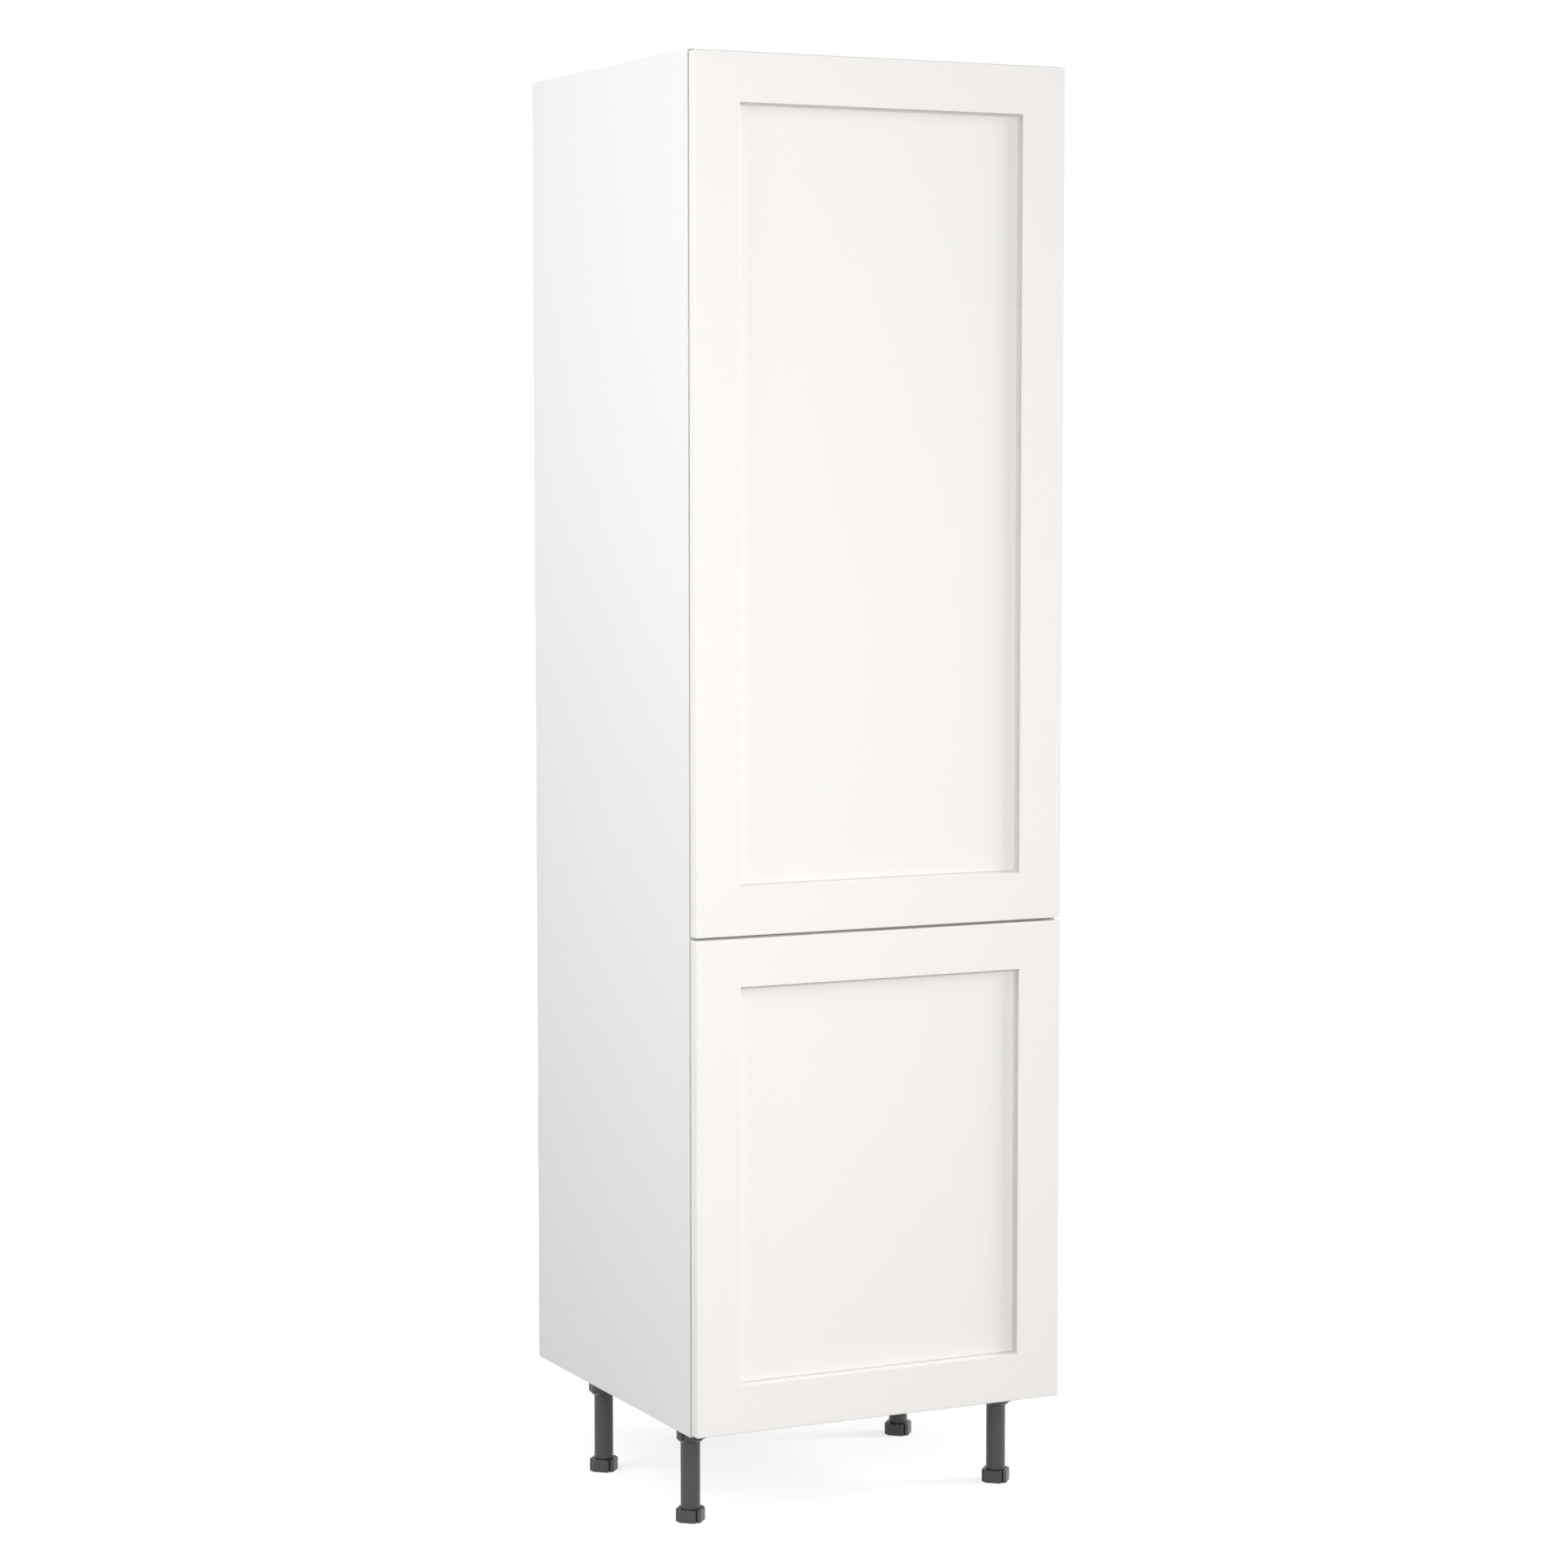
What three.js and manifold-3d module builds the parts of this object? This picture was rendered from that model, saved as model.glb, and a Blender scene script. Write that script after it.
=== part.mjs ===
// A tall housing unit for a built-in fridge freezer: a white board carcass with an open back,
// two shaker doors on concealed hinges, and four screw-adjusted plinth legs.
// Millimetres, +Z up, +Y to the back. The origin is on the floor under the middle of the unit.

import * as THREE from 'three';
import { mergeVertices } from 'three/addons/utils/BufferGeometryUtils.js';
import Module from 'manifold-3d';

const wasm = await Module();
wasm.setup();

// Carcass
const carcassWidth = 600;
const carcassDepth = 570;
const carcassHeight = 1980;
const boardThickness = 18;
const compartmentHeight = 146;
const railHeight = 100;
const ventWidth = 460;
const ventDepth = 50;
const ventCorner = 20;

// Doors
const doorThickness = 20;
const doorStandoff = 2;
const doorSideMargin = 1.5;
const doorEndMargin = 3;
const doorGap = 4;
const lowerDoorHeight = 720;
const frameWidth = 70;
const recessDepth = 11;
const doorArris = 1.5;
const recessArris = 0.8;
const recessCove = 2.2;
const bumperRadius = 4;
const bumperThickness = 1.7;
const bumperCorner = 0.6;

// Legs
const legHeight = 150;
const legSideInset = 43.5;
const legFrontInset = 94;
const legBackInset = 155;
const tubeRadius = 14.5;
const tubeWall = 2.5;
const tubeSeatDepth = 8;
const nutHeight = 14;
const footHeight = 19;
const footRadius = 22.1;
const footEdge = 0.8;
const gripSlotWidth = 2.4;
const gripSlotDepth = 4.5;
const gripBroadStartShare = 0.14;
const gripBroadEndShare = 0.78;
const stemRadius = 9;
const stemLength = 62;
const stemTip = 2;
const collarRadius = 20.4;
const collarHeight = 27;
const collarMouth = 16.2;
const collarMouthHeight = 31;
const earReach = 35;
const earRadius = 7;
const earThickness = 4;
const earCount = 3;
const earScrewRadius = 2.2;
const earScrewHeadRadius = 4.4;
const gussetThickness = 3.6;
const gussetReach = 22.4;
const gussetHeel = 14;

// Hinges, in a frame that stands at the front edge of the hinge side's inner face:
// +X into the unit, +Y out through the front, +Z up
const hingeEndInset = 105;
const cupRadius = 17.3;
const cupDepth = 12.4;
const cupWall = 1.3;
const cupEdgeDistance = 22.5;
const cupRimRadius = 19.4;
const cupRimThickness = 1;
const wingReach = 26;
const wingRadius = 6.5;
const wingScrewSpread = 45;
const wingScrewRadius = 2;
const cupPinRadius = 1.3;
const cupPinInset = 5.5;
const innerCupPinDepth = 4.2;
const outerCupPinDepth = 9.4;
const plateSetback = 37;
const plateThickness = 2;
const plateSpan = 54;
const plateWidth = 12;
const plateScrewSpacing = 32;
const plateScrewRadius = 2.2;
const spineLength = 38;
const spineHeight = 12;
const spineWidth = 11;
const spineEdge = 0.8;
const armWall = 1.5;
const armSkirt = 8.5;
const armFront = 3;
const armScrewRadius = 3.4;
const armScrewHeight = 0.9;
const armScrewSlotWidth = 1.1;
const armScrewSlotDepth = 0.6;
const armScrewSetback = 9;
const noseWidth = 10;
const noseSlotWidth = 7;
const noseEyeRadius = 2.6;
const noseEyeX = 4.2;
const noseEyeY = 5.4;

// Wall brackets
const bracketThickness = 2;
const bracketLeg = 32;
const bracketHeight = 60;
const bracketBend = 2;
const bracketHoleRadius = 3.2;
const bracketHoleShares = [0.25, 0.75];

// Running gaps and cutting allowances
const slipClearance = 0.15;
const restClearance = 0.3;
const cutOverrun = 1;

// Facets round a full turn
const legFacets = 32;
const cupFacets = 24;
const smallFacets = 12;

// Worked-out places
const carcassBottom = legHeight;
const carcassTop = carcassBottom + carcassHeight;
const overallDepth = carcassDepth + doorStandoff + doorThickness;
const backPlane = overallDepth / 2;
const carcassFront = backPlane - carcassDepth;
const doorBack = carcassFront - doorStandoff;
const innerWidth = carcassWidth - 2 * boardThickness;
const innerSide = innerWidth / 2;
const nicheCeiling = carcassTop - boardThickness - compartmentHeight - boardThickness;
const doorWidth = carcassWidth - 2 * doorSideMargin;
const upperDoorHeight = carcassHeight - 2 * doorEndMargin - doorGap - lowerDoorHeight;
const lowerDoorBottom = carcassBottom + doorEndMargin;
const upperDoorBottom = lowerDoorBottom + lowerDoorHeight + doorGap;

// Finishes
const colours = {
  board: 0xf4f4f3,
  door: 0xf7f5f1,
  legPlastic: 0x47484a,
  steel: 0xb9bbbd,
  zinc: 0xc9cacb,
  bumper: 0xe6e6e2,
};

function finish(colour, roughness, metalness) {
  return new THREE.MeshStandardMaterial({ color: colour, roughness, metalness });
}

const finishes = {
  board: () => finish(colours.board, 0.55, 0),
  door: () => finish(colours.door, 0.42, 0),
  legPlastic: () => finish(colours.legPlastic, 0.48, 0),
  steel: () => finish(colours.steel, 0.3, 1),
  zinc: () => finish(colours.zinc, 0.38, 1),
  bumper: () => finish(colours.bumper, 0.5, 0),
};

// Solids and their joins and cuts

function solidOf(geometry) {
  const bare = geometry.clone();
  bare.deleteAttribute('normal');
  bare.deleteAttribute('uv');
  const merged = mergeVertices(bare);
  return new wasm.Manifold(new wasm.Mesh({
    numProp: 3,
    vertProperties: new Float32Array(merged.attributes.position.array),
    triVerts: new Uint32Array(merged.index.array),
  }));
}

function geometryOf(solid) {
  const mesh = solid.getMesh();
  const geometry = new THREE.BufferGeometry();
  geometry.setAttribute('position', new THREE.BufferAttribute(mesh.vertProperties, 3));
  geometry.setIndex(new THREE.BufferAttribute(mesh.triVerts, 1));
  geometry.computeVertexNormals();
  return geometry;
}

function join(geometries) {
  const solids = geometries.map(solidOf);
  return geometryOf(solids.reduce((whole, piece) => whole.add(piece)));
}

function cut(geometry, cutters) {
  const solids = cutters.map(solidOf);
  return geometryOf(solids.reduce((rest, cutter) => rest.subtract(cutter), solidOf(geometry)));
}

// Outlines and simple forms

function rectangle(width, height) {
  const shape = new THREE.Shape();
  shape.moveTo(-width / 2, -height / 2);
  shape.lineTo(width / 2, -height / 2);
  shape.lineTo(width / 2, height / 2);
  shape.lineTo(-width / 2, height / 2);
  return shape;
}

// A bar with round ends, along Y and centred on the origin
function obround(length, radius) {
  const shape = new THREE.Shape();
  const straight = length / 2 - radius;
  shape.absarc(0, straight, radius, 0, Math.PI, false);
  shape.absarc(0, -straight, radius, Math.PI, 2 * Math.PI, false);
  return shape;
}

function outline(points) {
  return new THREE.Shape(points.map(([x, y]) => new THREE.Vector2(x, y)));
}

function extrude(shape, depth) {
  return new THREE.ExtrudeGeometry(shape, { depth, bevelEnabled: false, curveSegments: smallFacets / 2 });
}

// Rounded edges that stay inside the outline and the thickness
function softExtrude(shape, thickness, edge, steps) {
  const geometry = new THREE.ExtrudeGeometry(shape, {
    depth: thickness - 2 * edge,
    bevelThickness: edge,
    bevelSize: edge,
    bevelOffset: -edge,
    bevelSegments: steps,
  });
  return geometry.translate(0, 0, edge);
}

// Turns an outline of [radius, height] corners round the upright axis
function turned(corners, facets) {
  const profile = corners.map(([radius, height]) => new THREE.Vector2(radius, height));
  return new THREE.LatheGeometry(profile, facets).rotateX(Math.PI / 2);
}

// A round bar that stands on z = 0
function rod(radius, height, facets = smallFacets) {
  return new THREE.CylinderGeometry(radius, radius, height, facets)
    .rotateX(Math.PI / 2)
    .translate(0, 0, height / 2);
}

// A countersink for a screw head that is flush with z = 0, and its clear hole below
function screwCutter(holeRadius, headRadius, depth) {
  return turned([
    [0, -depth - cutOverrun],
    [holeRadius, -depth - cutOverrun],
    [holeRadius, holeRadius - headRadius],
    [headRadius, 0],
    [headRadius, cutOverrun],
    [0, cutOverrun],
  ], smallFacets);
}

// Stands a form up, so that its z turns to face the front and its y turns upright
function standUp(geometry) {
  return geometry.rotateX(Math.PI / 2);
}

const unit = new THREE.Group();

function addPiece(parent, name, geometry, material, x = 0, y = 0, z = 0) {
  const mesh = new THREE.Mesh(geometry, material);
  mesh.name = name;
  mesh.position.set(x, y, z);
  parent.add(mesh);
  return mesh;
}

// Carcass boards

function sidePanel() {
  return new THREE.BoxGeometry(boardThickness, carcassDepth, carcassHeight);
}

// A board between the sides, with the rear ventilation cut-out; it stops short of the back by the trim
function crossBoard(backTrim) {
  const side = innerWidth / 2;
  const front = -carcassDepth / 2;
  const back = carcassDepth / 2 - backTrim;
  const ventSide = ventWidth / 2;
  const ventFront = carcassDepth / 2 - ventDepth;
  const shape = new THREE.Shape();
  shape.moveTo(-side, front);
  shape.lineTo(side, front);
  shape.lineTo(side, back);
  shape.lineTo(ventSide, back);
  shape.lineTo(ventSide, ventFront + ventCorner);
  shape.absarc(ventSide - ventCorner, ventFront + ventCorner, ventCorner, 0, -Math.PI / 2, true);
  shape.lineTo(ventCorner - ventSide, ventFront);
  shape.absarc(ventCorner - ventSide, ventFront + ventCorner, ventCorner, -Math.PI / 2, -Math.PI, true);
  shape.lineTo(-ventSide, back);
  shape.lineTo(-side, back);
  return extrude(shape, boardThickness);
}

function backRail() {
  return new THREE.BoxGeometry(innerWidth, boardThickness, railHeight).translate(0, 0, railHeight / 2);
}

// A bent steel angle: one leg on the side panel, the other flush with the back, for a wall screw
function wallBracket() {
  const inner = bracketThickness;
  const profile = new THREE.Shape();
  profile.moveTo(bracketBend, 0);
  profile.lineTo(bracketLeg, 0);
  profile.lineTo(bracketLeg, inner);
  profile.lineTo(inner, inner);
  profile.lineTo(inner, bracketLeg);
  profile.lineTo(0, bracketLeg);
  profile.lineTo(0, bracketBend);
  profile.absarc(bracketBend, bracketBend, bracketBend, Math.PI, 1.5 * Math.PI, false);
  const angle = extrude(profile, bracketHeight);
  const holeLength = bracketThickness + 2 * cutOverrun;
  const along = (bracketLeg + inner) / 2;
  const hole = rod(bracketHoleRadius, holeLength).translate(0, 0, -cutOverrun);
  const holes = [];
  for (const heightShare of bracketHoleShares) {
    const height = bracketHeight * heightShare;
    holes.push(hole.clone().rotateX(-Math.PI / 2).translate(along, 0, height));
    holes.push(hole.clone().rotateY(Math.PI / 2).translate(0, along, height));
  }
  return cut(angle, holes);
}

const carcassMiddle = (carcassFront + backPlane) / 2;
const sideCentre = (carcassWidth - boardThickness) / 2;
const carcassCentreHeight = carcassBottom + carcassHeight / 2;
for (const [name, side] of [['left', -1], ['right', 1]]) {
  addPiece(unit, `side_panel_${name}`, sidePanel(), finishes.board(),
    side * sideCentre, carcassMiddle, carcassCentreHeight);
}
// The lowest rail stands behind the base panel, which stops at its face
const crossBoards = [
  ['base_panel', carcassBottom, boardThickness],
  ['niche_shelf', nicheCeiling, 0],
  ['top_panel', carcassTop - boardThickness, 0],
];
for (const [name, height, backTrim] of crossBoards) {
  addPiece(unit, name, crossBoard(backTrim), finishes.board(), 0, carcassMiddle, height);
}
// The middle rail's top is level with the lower door's, which closes the view through the doors' joint
const middleRailBottom = lowerDoorBottom + lowerDoorHeight - railHeight;
const topRailBottom = carcassTop - boardThickness - railHeight;
const backRails = [
  ['back_rail_bottom', carcassBottom],
  ['back_rail_middle', middleRailBottom],
  ['back_rail_top', topRailBottom],
];
for (const [name, height] of backRails) {
  addPiece(unit, name, backRail(), finishes.board(), 0, backPlane - boardThickness / 2, height);
}
const bracketBottom = nicheCeiling - bracketHeight;
for (const [name, side] of [['left', -1], ['right', 1]]) {
  const corner = new THREE.Group();
  corner.position.set(side * innerSide, backPlane, bracketBottom);
  corner.rotation.z = side < 0 ? -Math.PI / 2 : Math.PI;
  unit.add(corner);
  addPiece(corner, `wall_bracket_${name}`, wallBracket(), finishes.zinc());
}

// Shaker doors, each one moulding: a flat frame round a sunk flat panel.
// The door's frame has its origin at the lower middle of the back face.

function cupBore(x, height) {
  const bore = rod(cupRadius + slipClearance, cupDepth + restClearance + cutOverrun, cupFacets);
  return standUp(bore).translate(x, cutOverrun, height);
}

function shakerDoor(height, hingeHeights) {
  const middle = height / 2;
  const slab = standUp(softExtrude(rectangle(doorWidth, height), doorThickness, doorArris, 3))
    .translate(0, 0, middle);
  const opening = rectangle(doorWidth - 2 * frameWidth, height - 2 * frameWidth);
  const recess = standUp(softExtrude(opening, doorThickness, recessCove, 3))
    .translate(0, recessDepth - doorThickness, middle);
  const lip = new THREE.ExtrudeGeometry(opening, {
    depth: cutOverrun,
    bevelThickness: recessArris,
    bevelSize: recessArris,
    bevelSegments: 1,
  });
  standUp(lip).translate(0, -doorThickness, middle);
  const boreX = doorWidth / 2 - cupEdgeDistance;
  return cut(slab, [recess, lip, ...hingeHeights.map((z) => cupBore(boreX, z))]);
}

// A clear stop button on the back of a door, at its opening side
function bumper() {
  return turned([
    [0, 0],
    [bumperRadius, 0],
    [bumperRadius, bumperThickness - bumperCorner],
    [bumperRadius - bumperCorner, bumperThickness],
    [0, bumperThickness],
  ], smallFacets).rotateX(-Math.PI / 2);
}

function hingeHeightsOf(height, count) {
  const span = height - 2 * hingeEndInset;
  return Array.from({ length: count }, (_, i) => hingeEndInset + (span * i) / (count - 1));
}

// Hinge pieces, in the hinge frame with z = 0 at the hinge's middle

const hingeEdgeX = doorSideMargin - boardThickness;
const cupX = hingeEdgeX + cupEdgeDistance;

// A drawn steel cup with a rim, two screw wings and the two link pins across its mouth
function hingeCup() {
  const mouthRadius = cupRadius - cupWall;
  const bowl = turned([
    [0, cupDepth - cupWall],
    [mouthRadius, cupDepth - cupWall],
    [mouthRadius, -cupRimThickness],
    [cupRimRadius, -cupRimThickness],
    [cupRimRadius, 0],
    [cupRadius, 0],
    [cupRadius, cupDepth],
    [0, cupDepth],
  ], cupFacets);
  const holeLength = cupRimThickness + 2 * cutOverrun;
  const holes = [rod(mouthRadius, holeLength, cupFacets)];
  for (const side of [-1, 1]) {
    holes.push(rod(wingScrewRadius, holeLength).translate(0, (side * wingScrewSpread) / 2, 0));
  }
  const wings = cut(
    extrude(obround(2 * (wingReach + wingRadius), wingRadius), cupRimThickness),
    holes.map((hole) => hole.translate(0, 0, -cutOverrun)),
  ).translate(0, 0, -cupRimThickness);
  const pinX = cupPinInset - mouthRadius;
  const pinHalf = Math.sqrt(mouthRadius ** 2 - pinX ** 2) + cupWall / 2;
  const pins = [innerCupPinDepth, outerCupPinDepth].map((depth) =>
    rod(cupPinRadius, 2 * pinHalf).rotateX(Math.PI / 2).translate(pinX, pinHalf, depth));
  return join([bowl, wings, ...pins]).rotateX(-Math.PI / 2).translate(cupX, doorStandoff, 0);
}

// A cross-shaped plate on the side panel, with a raised spine that carries the arm
function mountingPlate() {
  const wing = extrude(obround(plateSpan, plateWidth / 2), plateThickness);
  const holes = [-1, 1].map((side) => rod(plateScrewRadius, plateThickness + 2 * cutOverrun)
    .translate(0, (side * plateScrewSpacing) / 2, -cutOverrun));
  const spine = softExtrude(rectangle(spineLength, spineWidth), spineHeight, spineEdge, 2);
  const plate = join([cut(wing, holes), spine]);
  // the wing's length turns upright and the plate's thickness points into the unit
  return plate.rotateX(Math.PI / 2).rotateZ(Math.PI / 2).translate(0, -plateSetback, 0);
}

function armScrew(y) {
  const sunk = armWall / 2;
  const slotLength = 2 * armScrewRadius + cutOverrun;
  const head = rod(armScrewRadius, sunk + armScrewHeight);
  const slot = new THREE.BoxGeometry(armScrewSlotWidth, slotLength, 2 * armScrewSlotDepth)
    .translate(0, 0, sunk + armScrewHeight);
  return cut(head, [slot]).rotateY(Math.PI / 2).translate(spineHeight + armWall - sunk, y, 0);
}

// The pressed arm: a channel over the plate's spine, with a forked nose that reaches into the cup
function hingeArm() {
  const inside = spineWidth / 2 + restClearance;
  const outside = inside + armWall;
  const top = spineHeight + armWall;
  const skirt = top - armSkirt;
  const back = -plateSetback - spineLength / 2;
  const front = -armFront;
  const trough = extrude(outline([
    [skirt, back],
    [top, back],
    [top, front],
    [skirt, front],
  ]), 2 * outside).translate(0, 0, -outside);
  const nose = extrude(outline([
    [skirt, front - armWall],
    [top, front - armWall],
    [top, front],
    [noseEyeX + noseEyeRadius, noseEyeY],
    [noseEyeX, noseEyeY + noseEyeRadius],
    [noseEyeX - noseEyeRadius, noseEyeY],
    [skirt, front],
  ]), noseWidth).translate(0, 0, -noseWidth / 2);
  const troughLength = front - armWall - back + cutOverrun;
  const hollow = new THREE.BoxGeometry(2 * spineHeight, troughLength, 2 * inside)
    .translate(0, front - armWall - troughLength / 2, 0);
  const forkLength = noseEyeY + noseEyeRadius - front + cutOverrun;
  const fork = new THREE.BoxGeometry(2 * top, forkLength, noseSlotWidth)
    .translate(0, front + forkLength / 2, 0);
  const pressed = cut(join([trough, nose]), [hollow, fork]);
  const pinHalf = (noseWidth + noseSlotWidth) / 4;
  const pin = rod(cupPinRadius, 2 * pinHalf).translate(noseEyeX, noseEyeY, -pinHalf);
  const screws = [armScrew(back + armScrewSetback), armScrew(front - armScrewSetback)];
  return join([pressed, pin, ...screws]);
}

function addDoor(name, bottom, height, hingeCount) {
  const heights = hingeHeightsOf(height, hingeCount);
  addPiece(unit, `${name}_door`, shakerDoor(height, heights), finishes.door(), 0, doorBack, bottom);
  const bumperX = -carcassWidth / 2 + boardThickness / 2;
  const bumperHeights = [['bottom', hingeEndInset / 2], ['top', height - hingeEndInset / 2]];
  for (const [place, z] of bumperHeights) {
    addPiece(unit, `${name}_door_bumper_${place}`, bumper(), finishes.bumper(),
      bumperX, doorBack, bottom + z);
  }
  heights.forEach((z, i) => {
    const hinge = new THREE.Group();
    hinge.position.set(innerSide, carcassFront, bottom + z);
    hinge.rotation.z = Math.PI;
    unit.add(hinge);
    const prefix = `${name}_hinge_${i + 1}`;
    addPiece(hinge, `${prefix}_cup`, hingeCup(), finishes.steel());
    addPiece(hinge, `${prefix}_plate`, mountingPlate(), finishes.zinc());
    addPiece(hinge, `${prefix}_arm`, hingeArm(), finishes.steel());
  });
}

addDoor('lower', lowerDoorBottom, lowerDoorHeight, 2);
addDoor('upper', upperDoorBottom, upperDoorHeight, 3);

// Legs, in a frame with z = 0 on the carcass underside and -Y towards the nearest end of the unit

// Three screw ears and their gussets round a tapered collar that grips the tube
function legSocket() {
  const collar = turned([
    [0, -collarMouthHeight],
    [collarMouth, -collarMouthHeight],
    [collarRadius, -collarHeight],
    [collarRadius, 0],
    [0, 0],
  ], legFacets);
  const gusset = extrude(outline([
    [0, 0],
    [earReach, 0],
    [earReach, -earThickness],
    [gussetReach, -gussetHeel],
    [gussetReach, -collarHeight],
    [0, -collarHeight],
  ]), gussetThickness).rotateX(Math.PI / 2).translate(0, gussetThickness / 2, 0);
  // the ear's inner end lies inside the collar
  const ear = extrude(obround(earReach + 2 * earRadius, earRadius), earThickness)
    .rotateZ(Math.PI / 2)
    .translate(earReach / 2, 0, -earThickness);
  const screw = screwCutter(earScrewRadius, earScrewHeadRadius, earThickness)
    .rotateX(Math.PI)
    .translate(earReach, 0, -earThickness);
  const arm = cut(join([ear, gusset]), [screw]);
  const arms = Array.from({ length: earCount }, (_, i) =>
    arm.clone().rotateZ(Math.PI / 2 + (2 * Math.PI * i) / earCount));
  const bore = rod(tubeRadius + slipClearance, collarMouthHeight, legFacets)
    .translate(0, 0, -collarMouthHeight - tubeSeatDepth);
  return cut(join([collar, ...arms]), [bore]);
}

// The tube, thickened at its lower end into the nut for the foot's stem
function legTube() {
  const bottom = footHeight + restClearance - legHeight;
  const bore = tubeRadius - tubeWall;
  const nutBore = stemRadius + restClearance;
  return turned([
    [nutBore, bottom],
    [tubeRadius, bottom],
    [tubeRadius, -tubeSeatDepth],
    [bore, -tubeSeatDepth],
    [bore, bottom + nutHeight + bore - nutBore],
    [nutBore, bottom + nutHeight],
    [nutBore, bottom],
  ], legFacets);
}

// The foot's grip outline, in each quarter: a slot, an edge, a broad flat and a narrow flat
function gripOutline() {
  const slotHalf = gripSlotWidth / 2;
  const quarter = Math.PI / 2;
  const slotFloor = footRadius - gripSlotDepth;
  const floorTurn = Math.asin(slotHalf / slotFloor);
  const mouthTurn = Math.asin(slotHalf / footRadius);
  const corners = [
    [slotFloor, -floorTurn],
    [slotFloor, floorTurn],
    [footRadius, mouthTurn],
    [footRadius, quarter * gripBroadStartShare],
    [footRadius, quarter * gripBroadEndShare],
    [footRadius, quarter - mouthTurn],
  ];
  const points = [0, 1, 2, 3].flatMap((k) => corners.map(([radius, turn]) => {
    const angle = -quarter - k * quarter - turn;
    return [radius * Math.cos(angle), radius * Math.sin(angle)];
  }));
  return outline(points.reverse());
}

function legFoot() {
  const grip = softExtrude(gripOutline(), footHeight, footEdge, 2);
  const stemTop = footHeight + stemLength;
  const stem = turned([
    [0, footHeight / 2],
    [stemRadius, footHeight / 2],
    [stemRadius, stemTop - stemTip],
    [stemRadius - stemTip, stemTop],
    [0, stemTop],
  ], legFacets);
  return join([grip, stem]).translate(0, 0, -legHeight);
}

const legX = carcassWidth / 2 - legSideInset;
const legPlaces = [
  ['front_left', -legX, carcassFront + legFrontInset, 0],
  ['front_right', legX, carcassFront + legFrontInset, 0],
  ['back_left', -legX, backPlane - legBackInset, Math.PI],
  ['back_right', legX, backPlane - legBackInset, Math.PI],
];
for (const [name, x, y, turn] of legPlaces) {
  const leg = new THREE.Group();
  leg.position.set(x, y, legHeight);
  leg.rotation.z = turn;
  unit.add(leg);
  addPiece(leg, `leg_socket_${name}`, legSocket(), finishes.legPlastic());
  addPiece(leg, `leg_tube_${name}`, legTube(), finishes.legPlastic());
  addPiece(leg, `leg_foot_${name}`, legFoot(), finishes.legPlastic());
}

export default unit;
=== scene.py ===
# The looks of a tall fridge housing unit: its boards, doors, legs and fittings over the solid frame,
# their materials, a pale studio and the camera. Metres, in the frame of the solids.

import math

import bmesh
import bpy
from mathutils import Matrix, Vector


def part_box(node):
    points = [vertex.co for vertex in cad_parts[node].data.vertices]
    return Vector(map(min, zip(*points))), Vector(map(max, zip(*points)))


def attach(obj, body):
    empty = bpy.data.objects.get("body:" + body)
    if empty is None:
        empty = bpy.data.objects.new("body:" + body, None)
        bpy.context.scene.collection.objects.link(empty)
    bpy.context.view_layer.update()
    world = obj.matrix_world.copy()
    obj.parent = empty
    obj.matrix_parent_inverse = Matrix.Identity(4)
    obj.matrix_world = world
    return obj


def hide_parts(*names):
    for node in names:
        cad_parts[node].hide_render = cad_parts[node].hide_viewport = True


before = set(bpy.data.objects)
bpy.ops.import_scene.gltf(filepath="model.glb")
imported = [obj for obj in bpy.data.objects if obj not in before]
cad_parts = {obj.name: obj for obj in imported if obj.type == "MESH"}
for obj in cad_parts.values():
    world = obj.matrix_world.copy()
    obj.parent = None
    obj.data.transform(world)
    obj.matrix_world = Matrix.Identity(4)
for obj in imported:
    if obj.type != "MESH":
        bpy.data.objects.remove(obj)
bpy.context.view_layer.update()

MM = 0.001
FULL_TURN = 2 * math.pi
QUARTER_TURN = math.pi / 2

# Camera, fitted to the photograph; angles in degrees
CAMERA_PLACE = (-2.5991, -5.3011, 1.5622)
CAMERA_YAW = 25.983
CAMERA_PITCH = 4.817
CAMERA_LENS = 89.52
CAMERA_FAR_CLIP = 100

# Edges; the angles, in degrees, are those past which an edge is rounded or kept as a crease
BOARD_EDGE = 0.6 * MM
MOULDED_EDGE = 0.4 * MM
FITTING_EDGE = 0.2 * MM
WEAR_REACH = 2.5 * MM
ROUNDED_ANGLE = 25
GRIP_ANGLE = 14
FITTING_ANGLE = 35
CREASE_ANGLE = 50
FITTING_WELD = 0.001 * MM

# Clearances
SLIP_CLEARANCE = 0.15 * MM
REST_CLEARANCE = 0.3 * MM

# Boards; a face looks along an axis where its normal has at least this share on it
VENT_WIDTH = 460 * MM
VENT_DEPTH = 50 * MM
VENT_CORNER = 20 * MM
FACING_SHARE = 0.9

# Doors
DOOR_CORNER = 1.4 * MM
DOOR_ARRIS = 1.5 * MM
DOOR_BACK_EDGE = 0.8 * MM
FRAME_WIDTH = 70 * MM
RECESS_DEPTH = 11 * MM
RECESS_LIP = 0.8 * MM
RECESS_COVE = 2.2 * MM
RECESS_CORNER = 0.5 * MM
CUP_BORE_RADIUS = 17.3 * MM + SLIP_CLEARANCE
CUP_BORE_DEPTH = 12.7 * MM

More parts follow.
